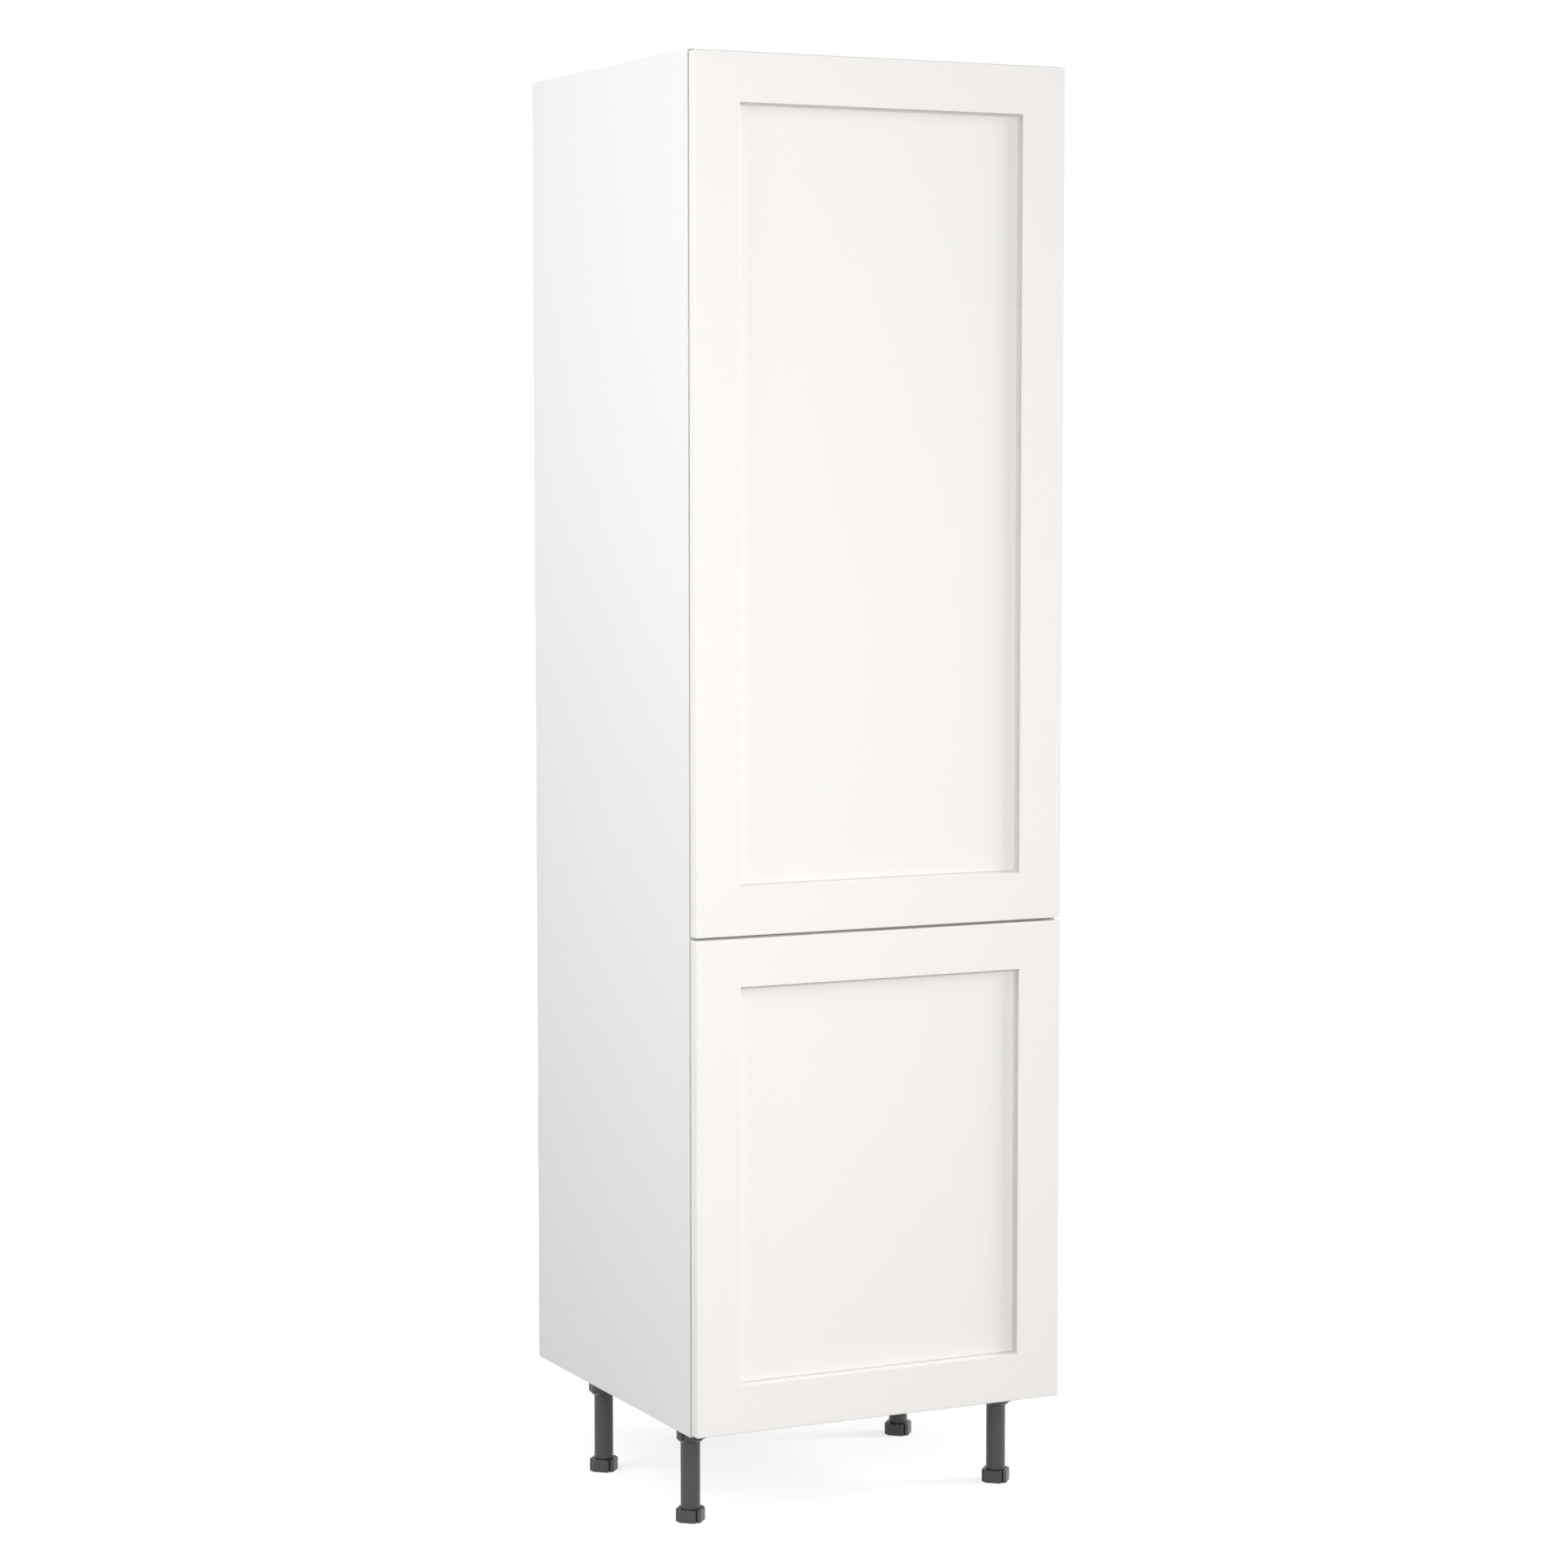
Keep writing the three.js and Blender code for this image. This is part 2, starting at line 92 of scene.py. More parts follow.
# Legs
LEG_HEIGHT = 150 * MM
TUBE_RADIUS = 14.5 * MM
TUBE_WALL = 2.5 * MM
TUBE_SEAT = 8 * MM
NUT_HEIGHT = 14 * MM
FOOT_HEIGHT = 19 * MM
FOOT_RADIUS = 22.1 * MM
FOOT_EDGE = 0.8 * MM
SLOT_WIDTH = 2.4 * MM
SLOT_DEPTH = 4.5 * MM
BROAD_START_SHARE = 0.14
BROAD_END_SHARE = 0.78
STEM_RADIUS = 9 * MM
STEM_LENGTH = 62 * MM
STEM_SUNK = 1 * MM
THREAD_PITCH = 4 * MM
THREAD_DEPTH = 1.3 * MM
THREAD_RUNOUT = 2 * MM
THREAD_STEEPNESS = 2.6
THREAD_WEAR = 0.4
COLLAR_RADIUS = 20.4 * MM
COLLAR_HEIGHT = 27 * MM
COLLAR_MOUTH = 16.2 * MM
COLLAR_MOUTH_HEIGHT = 31 * MM
COLLAR_RIM = 1 * MM
EAR_COUNT = 3
EAR_REACH = 35 * MM
EAR_RADIUS = 7 * MM
EAR_THICKNESS = 4 * MM
EAR_ROUND_SHARE = 0.98
GUSSET_THICKNESS = 3.6 * MM
GUSSET_REACH = 22.4 * MM
GUSSET_HEEL = 14 * MM
ARM_ROOT = TUBE_RADIUS + 1 * MM

# Screws
SCREW_HEAD_RADIUS = 4 * MM
SCREW_HEAD_HEIGHT = 1.2 * MM
SCREW_TOP_SHARE = 0.7
SCREW_CROWN = 1 * MM
SCREW_RIM = 0.3 * MM
SCREW_CENTRE = 0.01 * MM
CROSS_WIDTH = 1 * MM
CROSS_DEPTH = 0.8 * MM
CROSS_SHARE = 0.55
CROSS_EDGE = 0.1 * MM
CUT_OVERRUN = 1 * MM

# Colours
BOARD_WHITE = (0.86, 0.86, 0.858)
BOARD_SCUFF = (0.76, 0.755, 0.74)
# The tape's grey is painted shade of the gap between the doors and the carcass
TAPE_SHADE_GREY = (0.6, 0.6, 0.6)
TAPE_SCUFF = (0.7, 0.7, 0.69)
FOIL_IVORY = (0.885, 0.862, 0.838)
# Painted shade for the walls of the door recess
FOIL_PAINTED_SHADE = (0.5, 0.487, 0.474)
FOIL_SCUFF = (0.79, 0.76, 0.73)
CHIP_TAN = (0.5, 0.38, 0.25)
CHIP_DARK = (0.42, 0.3, 0.18)
CHIP_PALE = (0.66, 0.54, 0.38)
CHIP_GAP = (0.22, 0.15, 0.09)
PLASTIC_GREY = (0.06, 0.06, 0.061)
PLASTIC_SCUFF = (0.1, 0.1, 0.101)
# Painted shade for the foot's slots
SLOT_SHADE_BLACK = (0.013, 0.013, 0.013)
NICKEL_GREY = (0.62, 0.61, 0.6)
ZINC_GREY = (0.6, 0.61, 0.63)
BUMPER_PALE = (0.75, 0.75, 0.73)
FLOOR_GREY = (0.5, 0.5, 0.5)

# Studio; the floor keeps the shadow within its reach and fades to white by the fade
SURROUND_LEVEL = 0.41
FLOOR_SIZE = 60
FLOOR_LIFT = 0.7
SHADOW_REACH = 0.7
FLOOR_FADE = 2.2


# Mesh building

def box_middle(node):
    """The middle of a solid's box."""
    low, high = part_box(node)
    return (low + high) / 2


def fillet(corners, radii, steps=4, closed=False):
    """Points along a line of corners, each rounded by its radius, marked 1 on the arcs and 0 off them."""
    points = []
    count = len(corners)
    for i, corner in enumerate(corners):
        here = Vector(corner)
        radius = radii[i]
        if radius == 0 or (not closed and i in (0, count - 1)):
            points.append((here, 0))
            continue
        to_last = (Vector(corners[i - 1]) - here).normalized()
        to_next = (Vector(corners[(i + 1) % count]) - here).normalized()
        half = to_last.angle(to_next) / 2
        reach = radius / math.tan(half)
        middle = here + (to_last + to_next).normalized() * (radius / math.sin(half))
        start = here + to_last * reach - middle
        turn = start.angle_signed(here + to_next * reach - middle)
        for step in range(steps + 1):
            angle = -turn * step / steps
            spun = Vector((
                start.x * math.cos(angle) - start.y * math.sin(angle),
                start.x * math.sin(angle) + start.y * math.cos(angle),
            ))
            points.append((middle + spun, 1))
    return points


def rounded_rectangle(half_width, half_height, radius):
    corners = [(-half_width, -half_height), (half_width, -half_height),
               (half_width, half_height), (-half_width, half_height)]
    return [point for point, _ in fillet(corners, [radius] * 4, steps=3, closed=True)]


def ring_point(radius, angle, height):
    """A point at an angle round the upright axis, counted from -Y."""
    return radius * math.sin(angle), -radius * math.cos(angle), height


def loft(rings, wear_and_shade, joined=False):
    """A bmesh skinned over rings of points with each ring's mark: wear on edges and painted shade in
    hollows; it is capped, or joined end to start.
    """
    bm = bmesh.new()
    layer = bm.verts.layers.float.new("wear_and_shade")
    loops = []
    for i, ring in enumerate(rings):
        loop = [bm.verts.new(point) for point in ring]
        for vert in loop:
            vert[layer] = wear_and_shade[i]
        loops.append(loop)
    following = loops[1:] + loops[:1] if joined else loops[1:]
    for low, high in zip(loops, following):
        for k in range(len(low)):
            after = (k + 1) % len(low)
            bm.faces.new((low[k], low[after], high[after], high[k]))
    if not joined:
        bm.faces.new(reversed(loops[0]))
        bm.faces.new(loops[-1])
    bmesh.ops.recalc_face_normals(bm, faces=bm.faces)
    return bm


def calmed(profile, closed=False):
    """The profile with an unworn point a little way along each long straight stretch from either end."""
    spread = []
    count = len(profile)
    for i, (here, mark) in enumerate(profile):
        spread.append((here, mark))
        if i == count - 1 and not closed:
            break
        there = profile[(i + 1) % count][0]
        along = there - here
        if along.length > 3 * WEAR_REACH:
            step = along.normalized() * WEAR_REACH
            spread.append((here + step, 0))
            spread.append((there - step, 0))
    return spread


def lathe(profile, segments=72, joined=False):
    """Turns a line of (radius, height) points, marked for wear, round the upright axis."""
    rings = []
    line = calmed([(Vector(point), mark) for point, mark in profile], joined)
    for (radius, height), _ in line:
        rings.append([ring_point(radius, FULL_TURN * k / segments, height) for k in range(segments)])
    return loft(rings, [mark for _, mark in line], joined=joined)


def slab(outline, low, high, edge, steps=3, sharp_angle=ROUNDED_ANGLE, reach=WEAR_REACH):
    """An upright prism over an outline, its sharp edges rounded, with wear that fades within the reach."""
    bm = bmesh.new()
    layer = bm.verts.layers.float.new("wear_and_shade")
    base = bm.faces.new([bm.verts.new((x, y, low)) for x, y in outline])
    swept = bmesh.ops.extrude_face_region(bm, geom=[base])
    for item in swept["geom"]:
        if isinstance(item, bmesh.types.BMVert):
            item.co.z = high
    bmesh.ops.recalc_face_normals(bm, faces=bm.faces)
    sharp = [e for e in bm.edges if e.calc_face_angle(0) > math.radians(sharp_angle)]
    bmesh.ops.bevel(bm, geom=sharp, offset=edge, segments=steps, profile=0.5, affect="EDGES")
    for vert in bm.verts:
        vert[layer] = 1
    wide = [f for f in bm.faces if f.calc_area() / f.calc_perimeter() > reach]
    if wide:
        bmesh.ops.inset_individual(bm, faces=wide, thickness=reach, use_even_offset=True)
        for face in wide:
            for vert in face.verts:
                vert[layer] = 0
    return bm


def block(low, high, edge):
    """A box between two corners, with its edges rounded."""
    outline = [(low[0], low[1]), (high[0], low[1]), (high[0], high[1]), (low[0], high[1])]
    return slab(outline, low[2], high[2], edge)


def placed(bm, matrix):
    """The bmesh moved by the matrix, its faces still pointing out."""
    bm.transform(matrix)
    if matrix.determinant() < 0:
        bmesh.ops.reverse_faces(bm, faces=bm.faces)
    return bm


def merge(parts):
    """One bmesh that holds all the parts' shells."""
    whole = bmesh.new()
    whole.verts.layers.float.new("wear_and_shade")
    for part in parts:
        scratch = bpy.data.meshes.new("scratch")
        part.to_mesh(scratch)
        part.free()
        whole.from_mesh(scratch)
        bpy.data.meshes.remove(scratch)
    return whole


def piece(name, bm, body, materials, replaced=(), choose=None):
    """A shown piece that rides on a body; choose gives each face its material's place in the list."""
    mesh = bpy.data.meshes.new(name)
    for face in bm.faces:
        face.smooth = True
        if choose:
            face.material_index = choose(face)
    for edge in bm.edges:
        edge.smooth = edge.calc_face_angle(0) < math.radians(CREASE_ANGLE)
    bm.to_mesh(mesh)
    bm.free()
    for material in materials:
        mesh.materials.append(material)
    made = bpy.data.objects.new(name, mesh)
    bpy.context.scene.collection.objects.link(made)
    shading = made.modifiers.new("shading", "WEIGHTED_NORMAL")
    shading.keep_sharp = True
    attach(made, body)
    if replaced:
        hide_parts(*replaced)
    return made


def carve(bm, cutters):
    """The bmesh with the cutters' volumes taken out of it."""
    objects = []
    for source in [bm, *cutters]:
        mesh = bpy.data.meshes.new("carving")
        source.to_mesh(mesh)
        source.free()
        made = bpy.data.objects.new("carving", mesh)
        bpy.context.scene.collection.objects.link(made)
        objects.append(made)
    target = objects[0]
    for cutter in objects[1:]:
        step = target.modifiers.new("cut", "BOOLEAN")
        step.operation = "DIFFERENCE"
        step.solver = "EXACT"
        step.object = cutter
    bpy.context.view_layer.update()
    shaped = target.evaluated_get(bpy.context.evaluated_depsgraph_get())
    result = bmesh.new()
    result.from_mesh(shaped.to_mesh())
    shaped.to_mesh_clear()
    for made in objects:
        mesh = made.data
        bpy.data.objects.remove(made)
        bpy.data.meshes.remove(mesh)
    return result


# Materials

# The spans of a noise texture over which patches, scuffs and gaps between chips come in
NOISE_SPAN = (0.3, 0.7)
SCUFF_SPAN = (0.5, 0.75)
GAP_SPAN = (0.55, 0.75)

# Painted shade on a recess's walls: its share, the least of it that a patch keeps, and its fade on an
# upward ledge, which the light reaches
RECESS_SHADE_SHARE = 0.75
RECESS_SHADE_MOTTLE = 0.9
LIT_LEDGE_SPAN = (0.2, 0.8)

# Tones of the drawn lines and rubbed edges of plated steel, as shares of its colour
STEEL_LINE_TONE = 0.8
STEEL_SCUFF_TONE = 1.15


def scaled(colour, share):
    return tuple(share * level for level in colour)


class Finish:
    """One node material and short names for making its nodes."""

    def __init__(self, name, colour, roughness, metallic=0.0, specular=0.5):
        self.material = bpy.data.materials.new(name)
        self.material.use_nodes = True
        self.tree = self.material.node_tree
        self.shader = self.tree.nodes["Principled BSDF"]
        self.shader.inputs["Base Color"].default_value = (*colour, 1)
        self.shader.inputs["Roughness"].default_value = roughness
        self.shader.inputs["Metallic"].default_value = metallic
        self.shader.inputs["Specular IOR Level"].default_value = specular
        self.place = self.node("ShaderNodeTexCoord").outputs["Object"]

    def node(self, kind, **settings):
        made = self.tree.nodes.new(kind)
        for key, value in settings.items():
            setattr(made, key, value)
        return made

    def join(self, source, target):
        self.tree.links.new(source, target)

    def stretched(self, scale):
        """The place on the object, with its own scale along each axis."""
        mapping = self.node("ShaderNodeMapping")
        mapping.inputs["Scale"].default_value = scale
        self.join(self.place, mapping.inputs["Vector"])
        return mapping.outputs["Vector"]

    def noise(self, scale, detail=2, place=None):
        made = self.node("ShaderNodeTexNoise")
        made.inputs["Scale"].default_value = scale
        made.inputs["Detail"].default_value = detail
        self.join(place or self.place, made.inputs["Vector"])
        return made.outputs["Fac"]

    def span(self, value, low, high, out_low, out_high):
        """Maps a value from one span to another and clamps it there."""
        made = self.node("ShaderNodeMapRange")
        ends = {"From Min": low, "From Max": high, "To Min": out_low, "To Max": out_high}
        for key, number in ends.items():
            made.inputs[key].default_value = number
        self.join(value, made.inputs["Value"])
        return made.outputs["Result"]

    def patches(self, scale, detail=2, place=None):
        """Soft patches that run from 0 to 1."""
        return self.span(self.noise(scale, detail, place), *NOISE_SPAN, 0, 1)

    def product(self, first, second):
        made = self.node("ShaderNodeMath", operation="MULTIPLY")
        self.join(first, made.inputs[0])
        self.join(second, made.inputs[1])
        return made.outputs[0]

    def blend(self, factor, first, second):
        """A colour between two colours or colour outputs."""
        made = self.node("ShaderNodeMix", data_type="RGBA")
        self.join(factor, made.inputs["Factor"])
        for source, target in ((first, made.inputs["A"]), (second, made.inputs["B"])):
            if isinstance(source, tuple):
                target.default_value = (*source, 1)
            else:
                self.join(source, target)
        return made.outputs["Result"]

    def wear_and_shade(self):
        """1 on rubbed edges, 0 on faces and -1 in hollows, where shade is painted."""
        return self.node("ShaderNodeAttribute", attribute_name="wear_and_shade").outputs["Fac"]

    def shade_mask(self):
        """1 in hollows, where shade is painted, and 0 everywhere else."""
        return self.span(self.wear_and_shade(), -1, 0, 1, 0)

    def upward(self):
        """How far the surface faces up."""
        parts = self.node("ShaderNodeSeparateXYZ")
        self.join(self.node("ShaderNodeNewGeometry").outputs["Normal"], parts.inputs["Vector"])
        return parts.outputs["Z"]

    def uneven(self, patches, colour, spread):
        """The colour, darker and lighter by the spread from patch to patch."""
        return self.blend(patches, scaled(colour, 1 - spread), scaled(colour, 1 + spread))

    def scuffed(self, face, colour, scale, share):
        """The face's colour, which patches on rubbed edges turn into another by up to the share."""
        rubbed = self.product(self.wear_and_shade(), self.span(self.noise(scale, 3), *SCUFF_SPAN, 0, share))
        return self.blend(rubbed, face, colour)

    def paint(self, colour):
        self.join(colour, self.shader.inputs["Base Color"])

    def polish(self, patches, smooth, rough):
        """Roughness between two levels from patch to patch."""
        self.join(self.span(patches, 0, 1, smooth, rough), self.shader.inputs["Roughness"])

    def bump(self, height, depth):
        made = self.node("ShaderNodeBump")
        made.inputs["Distance"].default_value = depth
        self.join(height, made.inputs["Height"])
        self.join(made.outputs["Normal"], self.shader.inputs["Normal"])


def white_board():
    """Melamine-faced board: near white, faintly uneven, with a fine pebbled face and rubbed edges."""
    made = Finish("white_board", BOARD_WHITE, roughness=0.5)
    face = made.uneven(made.patches(scale=2.2, detail=3), BOARD_WHITE, spread=0.007)
    made.paint(made.scuffed(face, BOARD_SCUFF, scale=140, share=0.3))
    made.polish(made.patches(scale=60), smooth=0.44, rough=0.56)
    made.bump(made.noise(scale=1100), depth=0.03 * MM)
    return made.material


def shaded_edging_tape():
    """Tape on the boards' front edges, painted light grey as the shade of the gap behind the doors, finely
    streaked along its length.
    """
    made = Finish("shaded_edging_tape", TAPE_SHADE_GREY, roughness=0.45)
    streaks = made.patches(scale=1, detail=3, place=made.stretched((600, 600, 12)))
    face = made.uneven(streaks, TAPE_SHADE_GREY, spread=0.033)
    made.paint(made.scuffed(face, TAPE_SCUFF, scale=140, share=0.3))
    made.polish(streaks, smooth=0.4, rough=0.5)
    made.bump(streaks, depth=0.02 * MM)
    return made.material


def door_foil():
    """Satin foil wrapped over the routed door: ivory white, with painted shade on the walls of the recess
    that fades out on its upward ledges.
    """
    made = Finish("door_foil", FOIL_IVORY, roughness=0.38)
    face = made.uneven(made.patches(scale=1.7, detail=3), FOIL_IVORY, spread=0.007)
    # Painted shade on the recess walls and cove, mottled a little and faded out on upward ledges, where
    # light falls
    shade_mottle = made.span(made.patches(scale=35), 0, 1, RECESS_SHADE_MOTTLE, 1)
    wall_shade = made.span(made.upward(), *LIT_LEDGE_SPAN, RECESS_SHADE_SHARE, 0)
    painted_shade = made.product(made.product(made.shade_mask(), shade_mottle), wall_shade)
    made.paint(made.scuffed(made.blend(painted_shade, face, FOIL_PAINTED_SHADE), FOIL_SCUFF, scale=110, share=0.25))
    made.polish(made.patches(scale=45), smooth=0.33, rough=0.43)
    made.bump(made.noise(scale=420), depth=0.04 * MM)
    return made.material


def raw_board():
    """Bare cut edge of chipboard: pressed flakes in pale tans with dark gaps."""
    made = Finish("raw_board", CHIP_TAN, roughness=0.85)
    flakes = made.node("ShaderNodeTexVoronoi")
    flakes.inputs["Scale"].default_value = 1
    made.join(made.stretched((420, 420, 700)), flakes.inputs["Vector"])
    tone = made.node("ShaderNodeSeparateColor")
    made.join(flakes.outputs["Color"], tone.inputs["Color"])
    chips = made.blend(tone.outputs["Red"], CHIP_DARK, CHIP_PALE)
    gaps = made.span(made.noise(scale=900, detail=4), *GAP_SPAN, out_low=0, out_high=0.7)
    made.paint(made.blend(gaps, chips, CHIP_GAP))
    made.polish(made.patches(scale=300), smooth=0.75, rough=0.95)
    made.bump(made.noise(scale=800, detail=4), depth=0.2 * MM)
    return made.material


def leg_plastic():
    """Moulded dark grey plastic with a fine spark-eroded grain, lighter scuffed edges and painted shade,
    near black, in the slots.
    """
    made = Finish("leg_plastic", PLASTIC_GREY, roughness=0.36)
    face = made.uneven(made.patches(scale=30, detail=3), PLASTIC_GREY, spread=0.05)
    # Painted shade: the slot floors near black
    slot_shaded = made.blend(made.shade_mask(), face, SLOT_SHADE_BLACK)
    made.paint(made.scuffed(slot_shaded, PLASTIC_SCUFF, scale=260, share=0.5))
    made.polish(made.patches(scale=90), smooth=0.3, rough=0.42)
    made.bump(made.noise(scale=2600), depth=0.03 * MM)
    return made.material


def plated_steel(name, colour, smooth, rough, grain):
    """Plated sheet steel with fine drawn lines, as close along each axis as the grain says."""
    made = Finish(name, colour, smooth, metallic=1.0)
    lines = made.patches(scale=1, detail=3, place=made.stretched(grain))
    face = made.blend(lines, scaled(colour, STEEL_LINE_TONE), colour)
    made.paint(made.scuffed(face, scaled(colour, STEEL_SCUFF_TONE), scale=300, share=0.5))
    made.polish(lines, smooth, rough)
    made.bump(lines, depth=0.008 * MM)
    return made.material


def bumper_plastic():
    """Cloudy soft plastic of the stop buttons."""
    made = Finish("bumper_plastic", BUMPER_PALE, roughness=0.4)
    made.shader.inputs["Transmission Weight"].default_value = 0.3
    made.paint(made.uneven(made.patches(scale=400), BUMPER_PALE, spread=0.067))
    made.polish(made.patches(scale=500), smooth=0.3, rough=0.5)
    made.bump(made.noise(scale=900), depth=0.02 * MM)
    return made.material


WHITE = white_board()
TAPE = shaded_edging_tape()
FOIL = door_foil()
RAW = raw_board()
PLASTIC = leg_plastic()
NICKEL = plated_steel("hinge_steel", NICKEL_GREY, smooth=0.2, rough=0.34, grain=(400, 40, 400))
ZINC = plated_steel("zinc_steel", ZINC_GREY, smooth=0.32, rough=0.5, grain=(160, 160, 160))
SOFT = bumper_plastic()


# Carcass boards

BOARD_MATERIALS = [WHITE, RAW, TAPE]
WHITE_SIDE, RAW_SIDE, TAPE_SIDE = range(len(BOARD_MATERIALS))
CARCASS_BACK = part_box("side_panel_left")[1].y


def side_panel_face(face):
    """Tape in front, bare board at the back and both ends, white elsewhere."""
    normal = face.normal
    if normal.y < -FACING_SHARE:
        return TAPE_SIDE
    return RAW_SIDE if normal.y > FACING_SHARE or abs(normal.z) > FACING_SHARE else WHITE_SIDE


def rail_face(face):
    """Bare board along the lower edge, white elsewhere."""
    return RAW_SIDE if face.normal.z < -FACING_SHARE else WHITE_SIDE


def cross_board_face(face):
    """Tape in front, white above and below, bare board on the other edges."""
    normal = face.normal
    if normal.y < -FACING_SHARE:
        return TAPE_SIDE
    return RAW_SIDE if abs(normal.z) < 1 - FACING_SHARE else WHITE_SIDE


def board(node, shape, choose):
    shape.normal_update()
    piece(f"{node}_board", shape, "carcass", BOARD_MATERIALS, [node], choose)


def whole_board(node, choose):
    """A board that fills its solid's box."""
    low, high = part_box(node)
    board(node, block(low, high, BOARD_EDGE), choose)


def vented_board(node):
    """A board between the sides, with the cut-out for cooling air at its back."""
    low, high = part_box(node)
    vent = VENT_WIDTH / 2
    vent_front = CARCASS_BACK - VENT_DEPTH
    corners = [(low.x, low.y), (high.x, low.y), (high.x, high.y), (vent, high.y),
               (vent, vent_front), (-vent, vent_front), (-vent, high.y), (low.x, high.y)]
    radii = [0, 0, 0, 0, VENT_CORNER, VENT_CORNER, 0, 0]
    outline = [point for point, _ in fillet(corners, radii, steps=8, closed=True)]
    board(node, slab(outline, low.z, high.z, BOARD_EDGE), cross_board_face)


for side in ("left", "right"):
    whole_board(f"side_panel_{side}", side_panel_face)
for place in ("bottom", "middle", "top"):
    whole_board(f"back_rail_{place}", rail_face)
for node in ("base_panel", "niche_shelf", "top_panel"):
    vented_board(node)


# Doors

DOOR_MATERIALS = [FOIL, WHITE, RAW]
FOIL_SIDE, BACK_SIDE, BORE_SIDE = range(len(DOOR_MATERIALS))


def door_rings(low, high):
    """Rings from the door's back, over its edges, to its sunk panel, and the mark of each: wear on the
    edges, painted shade on the recess walls.
    """
    half_width = (high.x - low.x) / 2
    half_height = (high.z - low.z) / 2
    centre = (low + high) / 2
    floor = low.y + RECESS_DEPTH
    section = calmed(fillet(
        [(FRAME_WIDTH / 2, high.y), (0, high.y), (0, low.y),
         (FRAME_WIDTH, low.y), (FRAME_WIDTH, floor), (FRAME_WIDTH + RECESS_COVE + WEAR_REACH, floor)],
        [0, DOOR_BACK_EDGE, DOOR_ARRIS, RECESS_LIP, RECESS_COVE, 0],
    ))
    rings = []
    wear_and_shade = []
    panel_start = FRAME_WIDTH + RECESS_COVE + WEAR_REACH / 2
    for (inset, depth), mark in section:
        inside = inset > FRAME_WIDTH / 2 and depth < high.y
        corner = RECESS_CORNER if inside else max(DOOR_CORNER - inset, RECESS_CORNER)
        flat = rounded_rectangle(half_width - inset, half_height - inset, corner)
        rings.append([(centre.x + x, depth, centre.z + z) for x, z in flat])
        # The rings of the recess walls and cove are marked -1, for painted shade
        shaded_ring = inside and depth > low.y + 2 * RECESS_LIP and inset < panel_start
        wear_and_shade.append(-1 if shaded_ring else mark)
    return rings, wear_and_shade


def door_face(face, back, cup_x):
    """Foil in front and round the edges, white on the flat back, bare board inside the cup bores."""
    centre = face.calc_center_median()
    if face.normal.y > FACING_SHARE and centre.y > back - DOOR_BACK_EDGE:
        return BACK_SIDE
    in_bore = abs(centre.x - cup_x) < CUP_BORE_RADIUS and centre.y > back - CUP_BORE_DEPTH - BOARD_EDGE
    return BORE_SIDE if in_bore else FOIL_SIDE


def door(node, cups):
    """One routed leaf, bored at its back for the hinge cups."""
    low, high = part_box(node)
    rings, wear_and_shade = door_rings(low, high)
    bore = [((CUP_BORE_RADIUS, -CUP_BORE_DEPTH), 0), ((CUP_BORE_RADIUS, WEAR_REACH), 0)]
    laid = Matrix.Rotation(-QUARTER_TURN, 4, "X")
    centres = [box_middle(cup) for cup in cups]
    cutters = [placed(lathe(bore), Matrix.Translation((centre.x, high.y, centre.z)) @ laid)
               for centre in centres]
    leaf = carve(loft(rings, wear_and_shade), cutters)
    leaf.normal_update()
    piece(f"{node}_leaf", leaf, node, DOOR_MATERIALS, [node],
          lambda face: door_face(face, high.y, centres[0].x))


door("lower_door", ["lower_hinge_1_cup", "lower_hinge_2_cup"])
door("upper_door", ["upper_hinge_1_cup", "upper_hinge_2_cup", "upper_hinge_3_cup"])


# Legs, built with z = 0 under the carcass and -Y away from the middle of the unit

EAR_TURNS = [Matrix.Rotation(QUARTER_TURN + FULL_TURN * i / EAR_COUNT, 4, "Z") for i in range(EAR_COUNT)]
LEG_TURNS = {"front_left": 0, "front_right": 0, "back_left": math.pi, "back_right": math.pi}


def collar_shape():
    """The tapered collar round the tube."""
    bore = TUBE_RADIUS + SLIP_CLEARANCE
    return lathe(fillet(
        [(bore, -TUBE_SEAT), (bore, -COLLAR_MOUTH_HEIGHT), (COLLAR_MOUTH, -COLLAR_MOUTH_HEIGHT),
         (COLLAR_RADIUS, -COLLAR_HEIGHT), (COLLAR_RADIUS, 0), (bore, 0)],
        [0, 0, MOULDED_EDGE, COLLAR_RIM, 0, 0], closed=True), joined=True)


def gusset_shape():
    """The rib that stands under an ear, along +X."""
    outline = [(ARM_ROOT, 0), (EAR_REACH, 0), (EAR_REACH, -EAR_THICKNESS),
               (GUSSET_REACH, -GUSSET_HEEL), (GUSSET_REACH, -COLLAR_HEIGHT), (ARM_ROOT, -COLLAR_HEIGHT)]
    rib = slab(outline, -GUSSET_THICKNESS / 2, GUSSET_THICKNESS / 2, MOULDED_EDGE, steps=2)
    return placed(rib, Matrix.Rotation(QUARTER_TURN, 4, "X"))


def ear_shape():
    """A screw ear with a round end, along +X."""
    tip = EAR_REACH + EAR_RADIUS
    corners = [(ARM_ROOT, -EAR_RADIUS), (tip, -EAR_RADIUS), (tip, EAR_RADIUS), (ARM_ROOT, EAR_RADIUS)]
    round_end = EAR_ROUND_SHARE * EAR_RADIUS
    outline = [point for point, _ in fillet(corners, [0, round_end, round_end, 0], steps=8, closed=True)]
    return slab(outline, -EAR_THICKNESS, 0, MOULDED_EDGE, steps=2)


def socket_shape():
    parts = [collar_shape()]
    for turn in EAR_TURNS:
        parts.append(placed(gusset_shape(), turn))
        parts.append(placed(ear_shape(), turn))
    return merge(parts)


